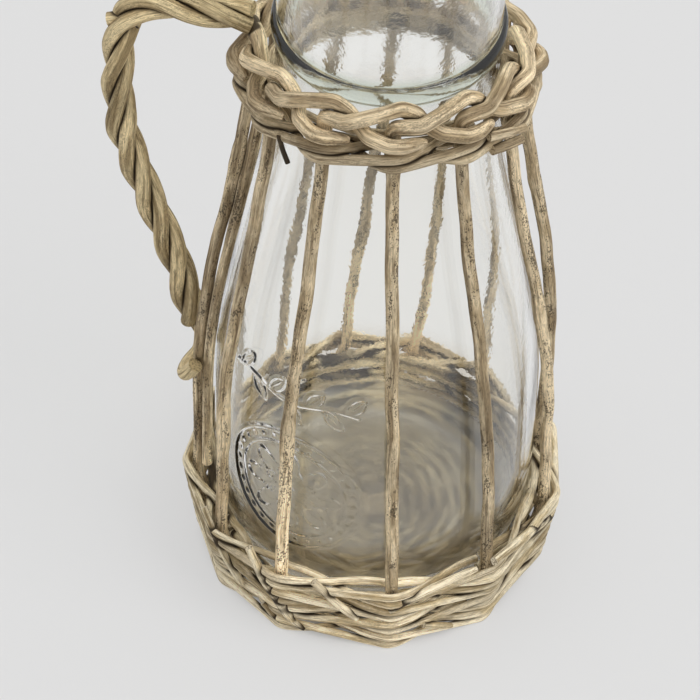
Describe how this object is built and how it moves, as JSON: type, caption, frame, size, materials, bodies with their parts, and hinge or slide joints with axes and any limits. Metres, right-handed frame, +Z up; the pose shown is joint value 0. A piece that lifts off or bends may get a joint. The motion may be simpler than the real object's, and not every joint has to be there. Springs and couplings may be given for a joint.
{
  "type": "glass jug in a wicker cage",
  "caption": "Clear glass jug with a straight wide neck, caged in grey willow: woven foot and floor, upright stakes, braided collar and a twisted willow handle.",
  "frame": {"origin": "on the floor, under the middle of the whole jug with its handle; the glass's axis stands 12.2 mm to +X of it", "axes": "+Z up along the glass; the handle is at -X and the front is at -Y"},
  "size_m": [0.142, 0.118, 0.262],
  "materials": {
    "clear_glass": "clear, slightly wavy pressed glass with a faint grey-green edge",
    "stake_willow": "weathered grey-brown willow with dark specks and paler scrapes, matt",
    "weaver_willow": "weathered pale grey-brown willow, matt",
    "handle_willow": "weathered grey-brown willow, matt"
  },
  "bodies": {
    "root": {"glass_jug": "clear_glass", "stake_01": "stake_willow", "stake_02": "stake_willow", "stake_03": "stake_willow", "stake_04": "stake_willow", "stake_05": "stake_willow", "stake_06": "stake_willow", "stake_07": "stake_willow", "stake_08": "stake_willow", "stake_09": "stake_willow", "stake_10": "stake_willow", "stake_11": "stake_willow", "stake_12": "stake_willow", "liner_rod": "stake_willow", "floor_stick_1": "stake_willow", "floor_stick_2": "stake_willow", "floor_stick_3": "stake_willow", "floor_stick_4": "stake_willow", "floor_stick_5": "stake_willow", "floor_stick_6": "stake_willow", "wall_rod_1a": "weaver_willow", "wall_rod_1b": "weaver_willow", "wall_rod_1c": "weaver_willow", "wall_rod_2a": "weaver_willow", "wall_rod_2b": "weaver_willow", "wall_rod_2c": "weaver_willow", "wall_rod_3a": "weaver_willow", "wall_rod_3b": "weaver_willow", "wall_rod_3c": "weaver_willow", "wall_rod_4a": "weaver_willow", "wall_rod_4b": "weaver_willow", "wall_rod_4c": "weaver_willow", "collar_rod_a": "weaver_willow", "collar_rod_b": "weaver_willow", "collar_rod_c": "weaver_willow", "floor_ring_1": "weaver_willow", "floor_ring_2": "weaver_willow", "floor_ring_3": "weaver_willow", "floor_ring_4": "weaver_willow", "floor_ring_5": "weaver_willow", "floor_ring_6": "weaver_willow", "handle_strand_a": "handle_willow", "handle_strand_b": "handle_willow", "handle_strand_c": "handle_willow"}
  },
  "joints": []
}
